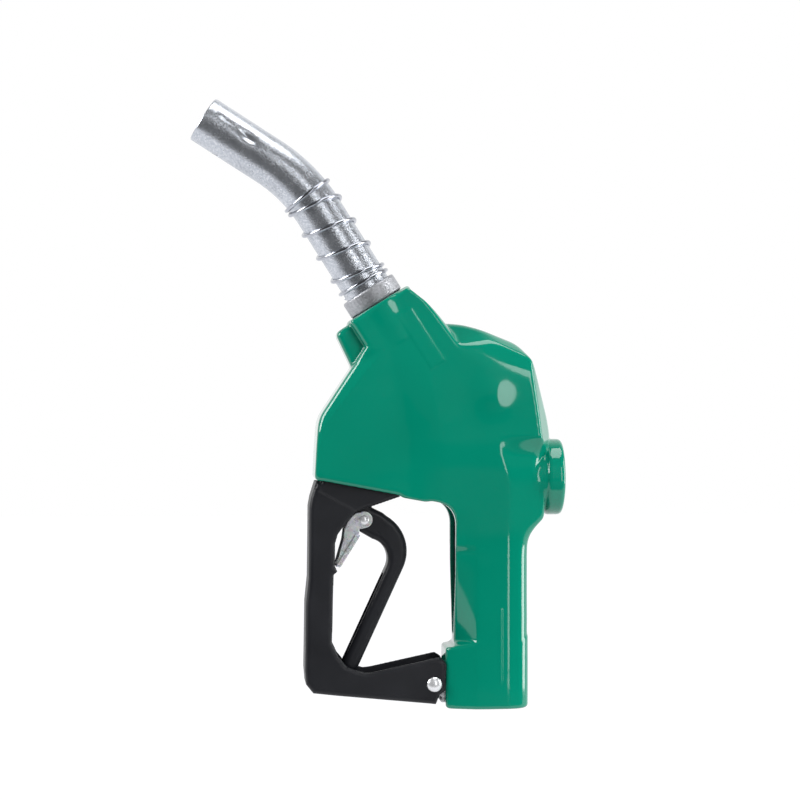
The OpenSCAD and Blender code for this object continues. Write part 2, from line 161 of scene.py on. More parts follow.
def polygon(points, x, z):
    """Exact signed distance to a closed outline of any shape."""
    best = None
    inside = False
    for (ax, az), (bx, bz) in zip(points, points[1:] + points[:1]):
        ex, ez = bx - ax, bz - az
        t = np.clip(((x - ax) * ex + (z - az) * ez) / (ex * ex + ez * ez), 0, 1)
        d = (x - ax - t * ex) ** 2 + (z - az - t * ez) ** 2
        best = d if best is None else np.minimum(best, d)
        crosses = (az > z) != (bz > z)
        if ez:
            inside = inside ^ (crosses & (x < ax + (z - az) * ex / ez))
    return np.where(inside, -1.0, 1.0) * np.sqrt(best)


def facet(a, b, c, x, y, z):
    """Plane through three points given as (x, half width, z); the solid is on the side of BODY_MIDDLE."""
    a, b, c = np.array(a, float), np.array(b, float), np.array(c, float)
    n = np.cross(b - a, c - a)
    n /= np.linalg.norm(n)
    if n @ (np.array(BODY_MIDDLE) - a) > 0:
        n = -n
    return (x - a[0]) * n[0] + (y - a[1]) * n[1] + (z - a[2]) * n[2]


def rod(x, z, cx, cz, r):
    """Endless cylinder along Y."""
    return np.sqrt((x - cx) ** 2 + (z - cz) ** 2) - r


def cylinder_x(x, y, z, cz, r, x0, x1, k):
    """Cylinder along X from x0 to x1, its ends rounded by k."""
    return intersect(k, np.sqrt(y**2 + (z - cz) ** 2) - r, x0 - x, x - x1)


def slab(v, low, high):
    """Distance outside the span from low to high."""
    return np.maximum(low - v, v - high)


def block(x, y, z, bx, by, bz, k=0.8):
    return intersect(k, slab(x, *bx), slab(y, *by), slab(z, *bz))


def to_spout(x, z):
    """Down the spout's lower axis from the bend point, and across it away from the bend's inside."""
    dx, dz = x - BEND_X, z - BEND_Z
    return dx * math.sin(LEAN) - dz * math.cos(LEAN), dx * math.cos(LEAN) + dz * math.sin(LEAN)


def spout_coords(x, z):
    """Length along the spout (0 at the bend's start, more towards the tip) and place across it."""
    down, across = to_spout(x, z)
    up = BEND_T - down
    cx = across + BEND_R
    angle = np.clip(np.arctan2(up, cx), 0, BEND_A)
    in_base = up < 0
    tx = cx * np.cos(BEND_A) + up * np.sin(BEND_A)
    tz = -cx * np.sin(BEND_A) + up * np.cos(BEND_A)
    in_tip = np.arctan2(up, cx) > BEND_A
    radial = np.where(in_base, across, np.where(in_tip, tx - BEND_R, np.sqrt(cx**2 + up**2) - BEND_R))
    length = np.where(in_base, up, np.where(in_tip, BEND_R * BEND_A + tz, BEND_R * angle))
    return length, radial


def waves(x, y, z, size, seed, octaves=2):
    """Gentle, repeatable unevenness between about -1 and 1, made of crossing sine waves."""
    out = 0.0
    rng = np.random.default_rng(seed)
    for octave in range(octaves):
        for _ in range(5):
            d = rng.normal(size=3)
            d = d / np.linalg.norm(d) * 2 * math.pi / (size * rng.uniform(0.7, 1.3)) * 1.9**octave
            out = out + np.sin(x * d[0] + y * d[1] + z * d[2] + rng.uniform(0, 6.28)) * 0.28 / 1.7**octave
    return out


# ---------------------------------------------------------------- the insulator's outer surface
# The body's outline in the X and Z plane is a union of convex outlines. Its half width is a height map.


def ease(u):
    """0 below 0 and 1 above 1, with a smooth step between."""
    u = np.clip(u, 0, 1)
    return u * u * (3 - 2 * u)


def softly(v, k):
    """v where it is above zero, with a rounded start."""
    return (v + np.sqrt(v**2 + k**2)) / 2


def lip(z):
    """Half width of the slit down the handle's front: narrow at the foot, wide at the top."""
    return 7 + 13 * ease((z - 42) / 56) ** 0.8


CREASE = np.polyfit([135.2, 191.5, 227.5], [-50.2, -55.0, -65.5], 2)


def side_width(x, z):
    """Half width of the cover: slim at the handle, collar and front box, full at the diaphragm housing."""
    down = to_spout(x, z)[0]
    body = HANDLE_T + (BODY_T - HANDLE_T) * ease((z - 100) / 70)
    neck = NECK_T + (BODY_T - NECK_T) * ease((down - 95) / 84)
    wide = smin(body, neck, 2.0)
    box = smin(wide, BOX_T, 1.0)
    past = softly(x - np.polyval(CREASE, z), 3.0)
    out = box + (wide - box) * (1 - (1 - np.clip(past / 20, 0, 1)) ** 1.7)
    # the body rounds off towards the valve's cap, past a ridge that runs on from the handle's flat side
    ridge = x - 10.8 + 7.0 * ease((z - 138) / 34)
    fade = 1 - ease((z - 158) / 14)
    out = out - 0.26 * fade * softly(ridge, 1.2) * ease((z - 96) / 20)
    # the housing's side has a low swelling under its facets
    out = out + 1.5 * np.exp(-((x / 7.5) ** 2 + ((z - 198.0) / 8.0) ** 2) / 2)
    # the box's front corner is chamfered from its ridge to its edge
    out = out - 0.36 * softly(-0.79 * (x + 69) + 0.61 * (z - 223.7), 0.5) * (1 - ease((z - 216) / 10))
    # the handle's back falls away past its flat side, and a faint mould line runs beside it
    out = out - 0.30 * softly(x - FLAT_X1, 1.6) * (1 - ease((z - 96) / 20))
    out = out + 0.26 * np.exp(-(((x - 6.2) / 0.5) ** 2)) * ease((z - 15) / 3) * ease((64 - z) / 3)
    # the handle's chamfer towards the lever, and the foot's
    slope = (HANDLE_T - lip(z)) / 13.3
    slope = slope * (1 - ease((z - 98) / 5)) + 0.06 * ease((z - 96) / 7) * (1 - ease((z - 112) / 16))
    upper = slope * softly(FLAT_X0 - x, 0.8)
    foot = 0.30 * softly(-9.2 - x, 0.8) + 0.25 * softly(-22.6 - x, 0.8)
    at_foot = 1 / (1 + np.exp(np.clip((z - 41.0 - 0.12 * (x + 20)) / 0.55, -30, 30)))
    return out - upper * (1 - at_foot) - foot * at_foot


def on_side(x, z, inset=0.0):
    """A point on the cover's near side, or a little in from it."""
    return x, float(side_width(np.float64(x), np.float64(z))) - inset, z


def dome_field(x, y, z):
    """Diaphragm housing: a faceted lump at the upper right."""
    k = 2.2
    outline = [(-60, 150), (20, 134), (39.9, 168.0), (38.8, 180.8), (31.4, 204.1), (27.1, 216.8),
               (17, 228.6), (-11.6, 239.9), (-23.4, 241.9), (-44, 241.0)]
    out = convex(outline, x, z, 2.4)
    out = smax(out, facet(on_side(-22, 228.9, 1.6), on_side(2.2, 229.4, 3.0), (-11.6, 11, 240.4), x, y, z), k)
    out = smax(out, facet(on_side(2.2, 229.4, 3.4), on_side(25.6, 219.0, 3.8), (9, 11, 234.0), x, y, z), k)
    below = facet(on_side(2.2, 229.4, 3.6), on_side(25.6, 219.0, 3.8), on_side(10.9, 212.2), x, y, z)
    out = smax(out, below, 1.6)
    out = smax(out, facet(on_side(26.6, 203.7), on_side(34.3, 169.1), (39.6, 15, 173.5), x, y, z), 1.2)
    return smax(out, facet(on_side(25.8, 217.2, 2.6), on_side(26.6, 203.7), (31.4, 14, 205.5), x, y, z), k)


def main_field(x, z):
    """The middle of the body, from the neck down to the handle."""
    middle = convex([(-56, 133.4), (33.0, 118.8), (34.0, 165), (18, 190), (-8, 212), (-40, 238), (-66, 236)],
                    x, z, 3.0)
    hip = convex([(-2, 150), (2, 110), (27.5, 114.2), (33.6, 119.2), (34.0, 150)], x, z, 3.0)
    return smin(middle, hip, 2.0)


def box_field(x, z):
    """Front box that shrouds the lever's pivot."""
    outline = [(-110.3, 143.6), (-40, 130.2), (-30, 160), (-50, 230), (-70, 241.0), (-91.8, 207.8),
               (-108.3, 182.6), (-109.4, 173.5)]
    return convex(outline, x, z, 3.0)


def neck_field(x, y, z):
    """Boxy neck that runs from the collar into the body."""
    outline = [(-88.6, 242.6), (-67.6, 209.7), (-20, 180), (-10, 225), (-23.4, 241.2), (-36.9, 251.7),
               (-44.8, 261.4), (-49.0, 265.8)]
    out = convex(outline, x, z, 1.6)
    return smax(out, facet(on_side(-45.0, 259.9), on_side(-21.4, 228.0), (-30, 11, 247.6), x, y, z), 1.0)


def collar_field(x, y, z):
    """Round collar over the spout's bushing."""
    down, across = to_spout(x, z)
    return intersect(2.2, np.sqrt(across**2 + y**2) - 23.0, NECK_S + 12.3 - down, down - NECK_S - 40)


def boss_field(x, y, z):
    """Port boss on the collar's front."""
    down, across = to_spout(x, z)
    lean = across + 32.6 + 0.12 * (down - NECK_S - 12)
    return intersect(4.0, -lean, across + 14, y - 11.5, NECK_S + 13.6 - down, down - NECK_S - 50)


def cap_field(x, y, z):
    """Round cap over the main valve, on a short neck."""
    stem = cylinder_x(x, y, z, VALVE_Z, 22.2, 20, 40, 1.0)
    cap = cylinder_x(x, y, z, VALVE_Z, 24.0, 35.4, COVER_HIGH[0], 3.2)
    return smin(stem, cap, 1.0)


def handle_field(x, z):
    """The handle's outline, with a fuller foot."""
    upper = intersect(2.0, slab(x, -22.2, HANDLE_X1), slab(z, -40, 150))
    foot = intersect(2.0, slab(x, -28.1, HANDLE_X1), slab(z, -40, 39.5 + 0.14 * (x + 20)))
    return smin(upper, foot, 2.0)


def panel_field(x, z):
    """Raised strip along the neck's side."""
    down, across = to_spout(x, z)
    return intersect(1.2, slab(across, 5.0, 15.0), slab(down, NECK_S + 25, NECK_S + 64))


def cover_outer(x, y, z):
    """Outside of the cover, with nothing hollowed out."""
    y = np.abs(y)
    outline = smin(main_field(x, z), box_field(x, z), 3.0)
    outline = smin(outline, neck_field(x, y, z), 1.4)
    outline = smin(outline, dome_field(x, y, z), 1.4)
    outline = smin(outline, handle_field(x, z), 13.0)
    raised = 1 / (1 + np.exp(np.clip(panel_field(x, z) / 0.45, -30, 30)))
    side = y - side_width(x, z) - 0.35 * raised
    rounding = 1.8 + 2.2 * ease((-x - 48) / 12) + 6.0 * ease((x - 12) / 6) * (1 - ease((z - 92) / 40))
    rounding = rounding + 9.0 * ease((x - 16) / 12) * ease((z - 136) / 14) * (1 - ease((z - 154) / 16))
    body = smax(smax(outline, side, rounding), -z, 3.0)
    body = smin(body, cap_field(x, y, z), 1.0)
    neck = smin(collar_field(x, y, z), boss_field(x, y, z), 1.8)
    body = smin(body, neck, 1.6)
    return body - 0.05 * waves(x, y, z, 42, 5)


def cover_openings(x, y, z):
    """Where the shell is open: under the box, down the slit, round the guard's lug, at inlet and collar."""
    y = np.abs(y)
    down, across = to_spout(x, z)
    under_box = block(x, y, z, (-106.6, -55.5), (-50, 20), (100, 152), 4.0)
    path = polygon([(-60, 46.5), (-13.5, 46.5), (-13.5, 112), (-17, 126), (-24.5, 133.5), (-32, 136.5),
                    (-60, 140)], x, z)
    slit = smax(path, y - lip(z) + 4.2, 1.5)
    lug = block(x, y, z, (-60, -14), (-50, 12.4), (-20, 26.5), 2.0)
    inlet = np.maximum(np.sqrt(x**2 + y**2) - 19.0, z - 20)
    spout = np.maximum(np.sqrt(across**2 + y**2) - 18.9, NECK_S - 5 - down)
    spout = np.maximum(spout, down - NECK_S - 30)
    out = under_box
    for f in (slit, lug, inlet, spout):
        out = np.minimum(out, f)
    return out


def cover_field(x, y, z):
    """The cover as a shell with its openings."""
    outer = cover_outer(x, y, z)
    shell = smax(outer, -(outer + SHELL), 1.0)
    return smax(shell, -cover_openings(x, y, z), 1.6)


# ---------------------------------------------------------------- the other moulded and stamped shapes


def arc(cx, cz, r, a0, a1, n):
    """Points along an arc from angle a0 to a1, in degrees."""
    steps = [math.radians(a0 + (a1 - a0) * i / n) for i in range(n + 1)]
    return [(cx + r * math.cos(a), cz + r * math.sin(a)) for a in steps]


LEVER_SIDE = ([(-89.2, 190), (-78.8, 190), (-73.8, 125.6), (-66.7, 122.2)]
              + arc(-77, 98.5, 25.2, 60, -24.5, 14) + arc(-87.1, 28.3, 5.1, -22, -202, 8)
              + arc(-77, 93.5, 13.1, -24.5, 75, 12)
              + [(-81.3, 110.6), (-84.8, 114)])


def lever_field(x, y, z):
    y = np.abs(y)
    side = polygon(LEVER_SIDE, x, z)
    hub = rod(x, z, PIVOT_X, PIVOT_Z, 6.6)
    out = smax(smin(side, hub, 1.0), y - LEVER_HIGH[1], 4.0)
    # the grip is a channel, open towards the guard
    tilt = math.radians(24.5)
    inner = polygon(LEVER_SIDE, x + 3.2 * math.cos(tilt), z - 3.2 * math.sin(tilt))
    hollow = intersect(2.0, inner + 1.2, y - 6.6, z - 84)
    out = smax(out, -hollow, 0.8)
    fork = block(x, y, z, (PIVOT_X - 9, PIVOT_X + 21), (-50, 5.3), (PIVOT_Z - 9, PIVOT_Z + 21), 1.0)
    out = smax(out, -fork, 0.6)
    return smax(out, -rod(x, z, PIVOT_X, PIVOT_Z, 3.05), 0.3)


GUARD_OUTLINE = [(-106.8, 147), (-106.8, 142.3), (-109.4, 142.7), (-112.5, 132.7), (-113.6, 126.6),
                 (-114.1, 82.2), (-115.7, 66.4), (-116.3, 24.6), (-115.6, 16.1), (-111, 10.4),
                 (-96.7, 8.8), (-37.3, 3.2), (-34.2, 2.8), (-31.6, 8.8), (-27.9, 11.5), (-27.2, 27.5),
                 (-28.6, 30.3), (-32.4, 32.7), (-73.9, 23.8), (-78.4, 23.4), (-83.6, 24.8),
                 (-89.7, 27.2), (-94.8, 33.5), (-99, 42.3), (-98, 84.2), (-95.6, 86.2), (-97.2, 90),
                 (-97, 104), (-95.4, 109.5), (-91.6, 114.8), (-88.4, 119.2), (-84.6, 123), (-78, 125.8),
                 (-73.9, 126.8), (-56.2, 132.9), (-62, 147)]
GUARD_SPACE = [(-104, 160), (-107, 143), (-110.2, 132.7), (-111.3, 126.6), (-111.7, 82.2), (-113.3, 66.4),
               (-113.9, 24.6), (-113, 17.4), (-110, 13), (-96.5, 11.2), (-37, 5.7), (-20, 4), (-20, 160)]


def guard_field(x, y, z):
    signed_y = y
    y = np.abs(y)
    out = smax(polygon(GUARD_OUTLINE, x, z) + 0.05, y - GUARD_HIGH[1], 3.2)
    space = smax(polygon(GUARD_SPACE, x, z), y - (GUARD_HIGH[1] - 2.4), 2.0)
    tongue = block(x, y, z, (-106, -103.2), (-50, 10), (135, 161), 1.0)
    out = smin(smax(out, -space, 0.9), tongue, 1.5)
    out = smax(out, -rod(x, z, RIVET_X, RIVET_Z, 3.1), 0.3)
    # joggle line under the insulator, a shallow step in each cheek
    line = half_plane((-106, 136.0), (-84, 124.0), x, z)
    step = 0.5 / (1 + np.exp(np.clip(line / 0.25, -30, 30))) * (y > GUARD_HIGH[1] - 1.6)
    screw = np.sqrt(signed_y**2 + (z - 155) ** 2) - 2.6
    return smax(out + step, -screw, 0.3)


CLIP_SIDE = (arc(CLIP_X, CLIP_Z, 5.2, -75, 118, 14)
             + [(-84.2, 122.6), (-86.8, 120.6), (-89.6, 116.6), (-91.4, 112.0), (-92.3, 105.4), (-96.3, 91.4),
                (-96.2, 89.2), (-94.2, 88.7), (-82.3, 107.6), (-81.9, 112.6)])


def clip_field(x, y, z):
    """Stamped clip: two side plates, a web across its front and a turned flange."""
    y = np.abs(y)
    plate_y = LEVER_HIGH[1] + 0.35
    plates = intersect(0.5, polygon(CLIP_SIDE, x, z), slab(y, plate_y, plate_y + 1.2))
    # the front edge is turned over between the plates, and stands a little proud of them
    line = half_plane((-94.2, 88.7), (-82.3, 107.6), x, z)
    web = intersect(0.5, np.maximum(-line - 2.6, line - 0.3), y - plate_y - 1.75, z - 108.6, 89.2 - z)
    web = smax(web, -np.maximum(y - plate_y - 0.1, -line - 1.3), 0.4)
    out = smin(plates, web, 0.7)
    return smax(out, -rod(x, z, CLIP_X, CLIP_Z, 2.55), 0.3)


def rivet_field(cx, cz, shank, head, tall, half):
    """Rivet along Y with a domed head at each end."""
    ball = (head**2 + tall**2) / (2 * tall)

    def field(x, y, z):
        y = np.abs(y)
        r = rod(x, z, cx, cz, 0.0)
        dome = smax(np.sqrt(r**2 + (y - half + ball) ** 2) - ball, half - tall - y, 0.3)
        return np.minimum(np.maximum(r - shank, y - half + tall / 2), dome)

    return field


def clip_rivet_field(low, high):
    """Clip's rivet along Y: a domed head on the near side and a flat one on the far side."""

    def field(x, y, z):
        r = rod(x, z, CLIP_X, CLIP_Z, 0.0)
        shank = np.maximum(r - 2.5, slab(y, low + 0.8, high - 0.3))
        dome = smax(np.sqrt(r**2 + (y - low - 4.3) ** 2) - 4.3, y - low - 1.55, 0.3)
        return np.minimum(np.minimum(shank, dome), smax(r - 3.35, slab(y, high - 0.9, high), 0.3))

    return field


def spout_field(x, y, z):
    """Bent tube with a rolled mouth, a vent hole, and a stamped crimp that holds the vent tube."""
    length, radial = spout_coords(x, z)
    end = BEND_R * BEND_A + TIP_LEN
    wall = np.sqrt(radial**2 + y**2)
    # crimp on the near side, a narrow groove with a deeper end
    along = end - length
    angle = np.degrees(np.arctan2(radial, -y))
    groove = np.exp(-((angle - 22 + 0.35 * (along - 20)) / 7) ** 2) * np.clip((along - 6) / 3, 0, 1)
    groove = groove * np.clip((34 - along) / 6, 0, 1)
    dimple = 1.5 * np.exp(-(((along - 31) / 6.0) ** 2 + ((angle - 16) / 10) ** 2))
    outer = wall - SPOUT_R + 0.35 * groove + dimple
    out = smax(outer, -(wall - SPOUT_R + 2.4 + dimple), 0.8)
    out = intersect(1.4, out, length - end, -length - (NECK_S + 29.5 - BEND_T))
    hole = np.sqrt(y**2 + (along - 19) ** 2) - 2.5
    hole = np.maximum(hole, radial)
    return smax(out, -hole, 0.7) - 0.012 * waves(x, y, z, 14, 3, 2)


def bushing_field(x, y, z):
    down, across = to_spout(x, z)
    wall = np.sqrt(across**2 + y**2)
    collar = intersect(1.6, wall - 18.35, NECK_S + 1 - down, down - NECK_S - 12)
    sleeve = np.maximum(np.maximum(wall - 16.9, NECK_S + 10 - down), down - NECK_S - 29.5)
    out = smax(np.minimum(collar, sleeve), -(wall - SPOUT_R - 0.12), 0.5)
    rough = 0.10 * waves(x, y, z, 3.2, 11, 3) * np.clip((NECK_S + 13 - down) / 2, 0, 1)
    return out + np.abs(rough)


def bore_x(x, y, z, cz, r, x0, x1):
    """Hole along X."""
    return np.maximum(np.sqrt(y**2 + (z - cz) ** 2) - r, slab(x, x0, x1))


def casting_field(x, y, z):
    """Casting under the cover, with the guard's lug and the same passages as the CAD casting."""
    y = np.abs(y)
    down, across = to_spout(x, z)
    out = cover_outer(x, y, z) + CASTING_INSET
    out = smin(out, block(x, y, z, (-44, -14), (-50, 12), (8, 25.5), 1.2), 1.0)
    out = smin(out, block(x, y, z, (-31, -14), (-50, 12), (3.5, 13.5), 1.2), 1.0)
    axle = np.sqrt(x**2 + y**2)
    spout = np.sqrt(across**2 + y**2)
    holes = [np.maximum(axle - 15.73, z - 22), np.maximum(axle - 12.7, z - VALVE_Z),
             bore_x(x, y, z, VALVE_Z, 18.0, -14, 60), bore_x(x, y, z, VALVE_Z, 9.5, -44, -10),
             bore_x(x, y, z, VALVE_Z, 8.0, -60, -43), bore_x(x, y, z, PIVOT_Z, 5.0, -100, -3),
             bore_x(x, y, z, PIVOT_Z, 12.0, -4, 10), bore_x(x, y, z, PIVOT_Z, 19.8, 8, 60),
             np.maximum(spout - 17.0, np.maximum(NECK_S - 5 - down, down - NECK_S - 30)),
             np.maximum(spout - 12.0, down - NECK_S - 83),
             block(x, y, z, (-98, -56), (-50, 11), (100, 202), 1.5),
             block(x, y, z, (-150, -58), (-50, 50), (90, 148), 1.0),
             block(x, y, z, (-150, -103), (-50, 50), (90, 162), 1.0), rod(x, z, RIVET_X, RIVET_Z, 3.1)]
    for hole in holes:
        out = smax(out, -hole, 0.6)
    return smax(out, 0.2 - z, 0.6)


# ---------------------------------------------------------------- meshes from fields

NEWTON_STEPS = 2


def steps(low, high, voxel):
    return np.arange(low, high + voxel, voxel)


def field_mesh(name, field, low, high, voxel):
    """Closed mesh of a field's zero surface.

    Each point is moved onto the exact surface, and takes its normal from the field.
    """
    pad = 2.5 * voxel
    xs, ys, zs = [steps(low[i] - pad, high[i] + pad, voxel) for i in range(3)]
    gx, gy, gz = xs[:, None, None], ys[None, :, None], zs[None, None, :]
    values = np.broadcast_to(field(gx, gy, gz), (len(xs), len(ys), len(zs)))
    band = 3 * voxel
    grid = openvdb.FloatGrid(band)
    grid.copyFromArray(np.ascontiguousarray(np.clip(values, -band, band), dtype=np.float32))
    points, quads = grid.convertToQuads(0.0)
    p = points.astype(float) * voxel + np.array([xs[0], ys[0], zs[0]])
    h = voxel * 0.2

    def gradient(q):
        f = [field(q[:, 0] + dx, q[:, 1] + dy, q[:, 2] + dz)
             for dx, dy, dz in ((h, 0, 0), (-h, 0, 0), (0, h, 0), (0, -h, 0), (0, 0, h), (0, 0, -h))]
        return np.stack([f[0] - f[1], f[2] - f[3], f[4] - f[5]], axis=1) / (2 * h)

    for _ in range(NEWTON_STEPS):
        g = gradient(p)
        size = np.maximum(np.sum(g * g, axis=1), 0.2)
        move = np.clip(field(p[:, 0], p[:, 1], p[:, 2]) / size, -voxel * 0.6, voxel * 0.6)
        p = p - g * move[:, None]
    normals = gradient(p)
    normals /= np.maximum(np.linalg.norm(normals, axis=1), 1e-9)[:, None]
    mesh = bpy.data.meshes.new(name)
    mesh.vertices.add(len(p))
    mesh.vertices.foreach_set("co", (p * MM).astype(np.float32).ravel())
    mesh.loops.add(quads.size)
    mesh.polygons.add(len(quads))
    flipped = quads[:, ::-1]
    mesh.loops.foreach_set("vertex_index", flipped.astype(np.int32).ravel())
    mesh.polygons.foreach_set("loop_start", np.arange(0, quads.size, 4, dtype=np.int32))
    mesh.update(calc_edges=True)
    mesh.validate()
    mesh.polygons.foreach_set("use_smooth", np.ones(len(mesh.polygons), bool))
    facing = np.zeros(len(mesh.polygons) * 3, np.float32)
    mesh.polygons.foreach_get("normal", facing)
    if np.sum(facing.reshape(-1, 3) * normals[quads[:, 0]]) < 0:
        mesh.flip_normals()
    mesh.normals_split_custom_set_from_vertices([tuple(n) for n in normals])
    obj = bpy.data.objects.new(name, mesh)
    bpy.context.scene.collection.objects.link(obj)
    return obj


def tube_mesh(name, points, radius, sides=14):
    """Round wire along a list of points, in millimetres, with domed ends."""
    p = np.array(points, float)
    t = np.gradient(p, axis=0)
    t /= np.linalg.norm(t, axis=1)[:, None]
    u = np.cross(t[0], [0.0, 1.0, 0.3])
    u = u / np.linalg.norm(u)
    frames = []
    for k in range(len(p)):
        u = u - t[k] * (u @ t[k])
        u = u / np.linalg.norm(u)
        frames.append((u.copy(), np.cross(t[k], u)))
    dome = [(0.95, 0.25), (0.6, 0.75)]
    first = [(p[0] - t[0] * radius * d, radius * r, frames[0]) for r, d in reversed(dome)]
    last = [(p[-1] + t[-1] * radius * d, radius * r, frames[-1]) for r, d in dome]
    turns = np.linspace(0, 2 * math.pi, sides, endpoint=False)
    rings = [[c + r * (math.cos(a) * u + math.sin(a) * v) for a in turns]
             for c, r, (u, v) in first + [(c, radius, f) for c, f in zip(p, frames)] + last]
    verts = [tuple(q * MM) for ring in rings for q in ring]
    n = len(rings)
    faces = [(k * sides + i, k * sides + (i + 1) % sides, (k + 1) * sides + (i + 1) % sides,
              (k + 1) * sides + i) for k in range(n - 1) for i in range(sides)]
    faces.append(tuple(reversed(range(sides))))
    faces.append(tuple((n - 1) * sides + i for i in range(sides)))
    mesh = bpy.data.meshes.new(name)
    mesh.from_pydata(verts, [], faces)
    mesh.polygons.foreach_set("use_smooth", [True] * len(faces))
    obj = bpy.data.objects.new(name, mesh)
    bpy.context.scene.collection.objects.link(obj)
    return obj


def anchor_points():
    """Left-handed coil round the spout: closed turns at the foot, open turns, a closed turn at the top."""
    radius = SPOUT_R + ANCHOR_WIRE + 0.06
    closed, opened = 1.5, 5.0
    foot_pitch, open_pitch, top_pitch = 4.2, 17.0, 3.0
    per_turn = 40
    out = []
    for k in range(6 * per_turn + 1):
        t = k / per_turn
        s = ANCHOR_WIRE - NECK_S + min(t, closed) * foot_pitch
        s += min(max(t - closed, 0.0), opened - closed) * open_pitch + max(t - opened, 0.0) * top_pitch
        turn = max(0.0, s + BEND_T) / BEND_R
        a = math.radians(150) - 2 * math.pi * t
        base_x = BEND_R * (math.cos(turn) - 1) + math.cos(a) * radius * math.cos(turn)
        base_z = (BEND_R * math.sin(turn) - BEND_T if turn > 0 else s) + math.cos(a) * radius * math.sin(turn)
        y = math.sin(a) * radius
        x = base_x * math.cos(LEAN) - base_z * math.sin(LEAN) + BEND_X
        z = base_x * math.sin(LEAN) + base_z * math.cos(LEAN) + BEND_Z
        out.append((x, y, z))
    return out


# ---------------------------------------------------------------- materials


class Nodes:
    """Short names for building one material's nodes."""

    def __init__(self, name):
        self.material = bpy.data.materials.new(name)
        self.material.use_nodes = True
        self.tree = self.material.node_tree
        self.bsdf = self.tree.nodes["Principled BSDF"]
        coords = self.tree.nodes.new("ShaderNodeTexCoord")
        self.place = coords.outputs["Object"]

    def link(self, a, b):
        self.tree.links.new(a, b)

    def node(self, kind, **inputs):
        n = self.tree.nodes.new(kind)
        for key, value in inputs.items():
            n.inputs[key.replace("_", " ")].default_value = value
        return n

    def noise(self, scale, detail=3.0, rough=0.5, distortion=0.0):
        n = self.node("ShaderNodeTexNoise", Scale=scale, Detail=detail, Roughness=rough,
                      Distortion=distortion)
        self.link(self.place, n.inputs["Vector"])
        return n.outputs["Fac"]

    def voronoi(self, scale, output="Distance"):
        n = self.node("ShaderNodeTexVoronoi", Scale=scale)
        self.link(self.place, n.inputs["Vector"])
        return n.outputs[output]

    def ramp(self, source, *stops):
        n = self.tree.nodes.new("ShaderNodeValToRGB")
        while len(n.color_ramp.elements) < len(stops):
            n.color_ramp.elements.new(0.5)
        for element, (at, colour) in zip(n.color_ramp.elements, stops):
            element.position = at
            element.color = (*colour, 1.0) if hasattr(colour, "__len__") else (colour, colour, colour, 1.0)
        self.link(source, n.inputs["Fac"])
        return n.outputs["Color"]

    def mix(self, factor, a, b, kind="MIX"):
        n = self.tree.nodes.new("ShaderNodeMix")
        n.data_type = "RGBA"
        n.blend_type = kind
        for socket, value in ((n.inputs["Factor"], factor), (n.inputs["A"], a), (n.inputs["B"], b)):
            if hasattr(value, "is_output"):
                self.link(value, socket)
            elif hasattr(value, "__len__"):
                socket.default_value = (*value, 1.0)
            else:
                socket.default_value = value
        return n.outputs["Result"]

    def bump(self, height, strength, distance, under=None):
        n = self.node("ShaderNodeBump", Strength=strength, Distance=distance)
        self.link(height, n.inputs["Height"])
        if under is not None:
            self.link(under, n.inputs["Normal"])
        return n.outputs["Normal"]

    def edges(self, low, high):
        """Where the surface is convex: 1 along outer edges; used to paint a highlight there."""
        n = self.tree.nodes.new("ShaderNodeNewGeometry")
        return self.ramp(n.outputs["Pointiness"], (low, 0.0), (high, 1.0))

    def finish(self, colour=None, roughness=None, normal=None, **constants):
        for source, name in ((colour, "Base Color"), (roughness, "Roughness")):
            if source is None:
                continue
            if hasattr(source, "is_output"):
                self.link(source, self.bsdf.inputs[name])
            elif hasattr(source, "__len__"):
                self.bsdf.inputs[name].default_value = (*source, 1.0)
            else:
                self.bsdf.inputs[name].default_value = source
        if normal is not None:
            self.link(normal, self.bsdf.inputs["Normal"])
        for key, value in constants.items():
            self.bsdf.inputs[key.replace("_", " ")].default_value = value
        return self.material


def green_vinyl():
    n = Nodes("green_vinyl")
    blotch = n.noise(14, 2.0)
    colour = n.mix(n.ramp(blotch, (0.3, 0.0), (0.7, 1.0)), (0.0, 0.172, 0.108), (0.0, 0.188, 0.119))
    roughness = n.ramp(n.noise(60, 3.0), (0.3, 0.055), (0.7, 0.10))
    peel = n.bump(n.noise(210, 1.0), 0.06, 0.0004)
    sag = n.bump(n.noise(26, 1.0), 0.10, 0.0016, peel)
    return n.finish(colour, roughness, sag, IOR=1.46, Coat_Weight=0.25, Coat_Roughness=0.04)


def spout_metal():
    n = Nodes("spout_metal")
    grain = n.noise(620, 5.0, 0.75)
    fleck = n.voronoi(700)
    tone = n.mix(n.ramp(grain, (0.34, 0.0), (0.66, 1.0)), (0.44, 0.47, 0.52), (0.64, 0.67, 0.72))
    tone = n.mix(n.ramp(fleck, (0.18, 0.55), (0.42, 0.0)), tone, (0.80, 0.82, 0.86))
    stain = n.ramp(n.noise(48, 5.0, 0.65), (0.36, 0.86), (0.56, 1.0))
    colour = n.mix(1.0, tone, stain, "MULTIPLY")
    roughness = n.ramp(n.noise(260, 5.0, 0.65), (0.3, 0.18), (0.7, 0.30))
    pits = n.bump(n.ramp(grain, (0.35, 0.0), (0.6, 1.0)), 0.30, 0.00014)
    return n.finish(colour, roughness, n.bump(n.noise(60, 1.0), 0.03, 0.0008, pits), Metallic=0.87)


def cast_metal(name, light, rough_low, rough_high):
    n = Nodes(name)
    grain = n.noise(700, 5.0, 0.7)
    colour = n.mix(n.ramp(grain, (0.35, 0.0), (0.65, 1.0)), tuple(0.72 * c for c in light), light)
    roughness = n.ramp(n.noise(320, 4.0), (0.3, rough_low), (0.7, rough_high))
    return n.finish(colour, roughness, n.bump(grain, 0.5, 0.0003), Metallic=0.9)


